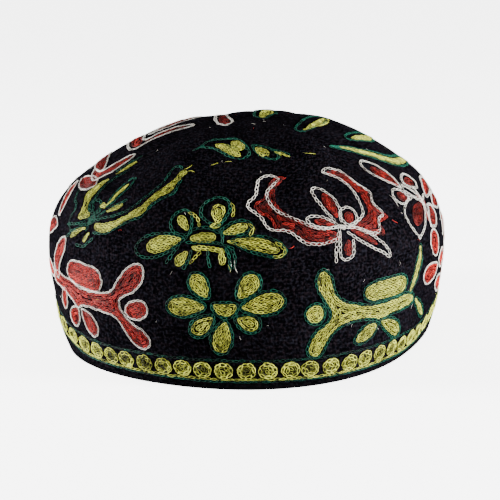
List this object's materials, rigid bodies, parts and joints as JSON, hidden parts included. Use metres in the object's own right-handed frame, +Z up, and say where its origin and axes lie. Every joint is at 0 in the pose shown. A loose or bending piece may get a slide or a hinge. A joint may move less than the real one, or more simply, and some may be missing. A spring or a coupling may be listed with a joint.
{
  "type": "bukharan kippah",
  "caption": "Round black cotton cap with a side band, a domed crown of gores and a plain hem, covered in folk chain-stitch flowers and a rosette border.",
  "frame": {"origin": "middle of the bounding box in plan, on the plane that the hem stands on", "axes": "+Z up through the crown's centre, -Y out of the front of the side band, +X to the wearer's left, which is the picture's right"},
  "size_m": [0.2036, 0.1925, 0.1136],
  "materials": {
    "black_cotton": "matt plain-woven cotton",
    "black_binding": "matt turned-up cotton strip",
    "yellow_thread": "soft cotton embroidery thread, olive yellow",
    "green_thread": "soft cotton embroidery thread, dark bluish green",
    "red_thread": "soft cotton embroidery thread, red",
    "white_thread": "soft cotton embroidery thread, off-white"
  },
  "bodies": {
    "root": {"side_band": "black_cotton", "hem_binding": "black_binding", "crown_gore_front": "black_cotton", "crown_gore_right": "black_cotton", "crown_gore_back": "black_cotton", "crown_gore_left": "black_cotton"}
  },
  "joints": []
}
